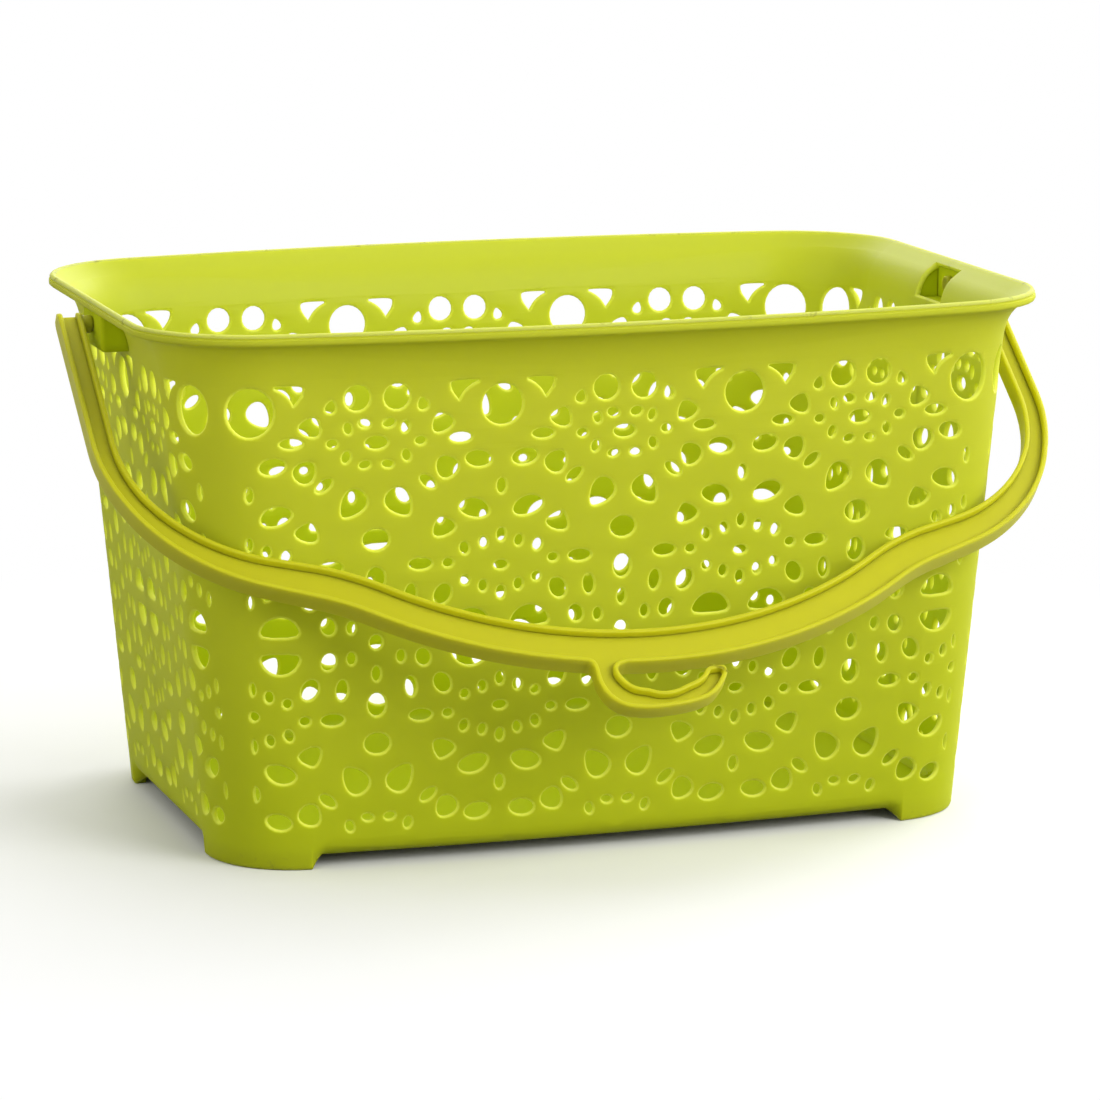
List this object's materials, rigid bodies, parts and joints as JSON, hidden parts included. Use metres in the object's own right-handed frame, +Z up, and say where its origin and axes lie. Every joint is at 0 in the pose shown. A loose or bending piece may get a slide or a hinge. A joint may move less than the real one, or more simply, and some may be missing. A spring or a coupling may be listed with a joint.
{
  "type": "hand basket",
  "caption": "Oblong openwork plastic basket with a flared rim, corner feet and a swinging bail handle that carries a hook for hanging it on a line.",
  "frame": {"origin": "on the ground under the feet, at the middle of the basket's length and width, without the handle", "axes": "+Z up, +X along the length to the right as seen from the front, -Y to the front, where the handle rests"},
  "size_m": [0.2774, 0.2107, 0.149],
  "materials": {
    "basket_plastic": "moulded polypropylene with a soft gloss",
    "handle_plastic": "moulded polypropylene with a soft gloss"
  },
  "bodies": {
    "basket": {"basket": "basket_plastic"},
    "handle": {"bail_handle": "handle_plastic"}
  },
  "joints": [
    {"name": "handle_swing", "type": "hinge", "parent": "basket", "child": "handle", "pos_m": [0, 0, 0.142], "axis": [-1, 0, 0], "range_deg": [0, 255]}
  ]
}
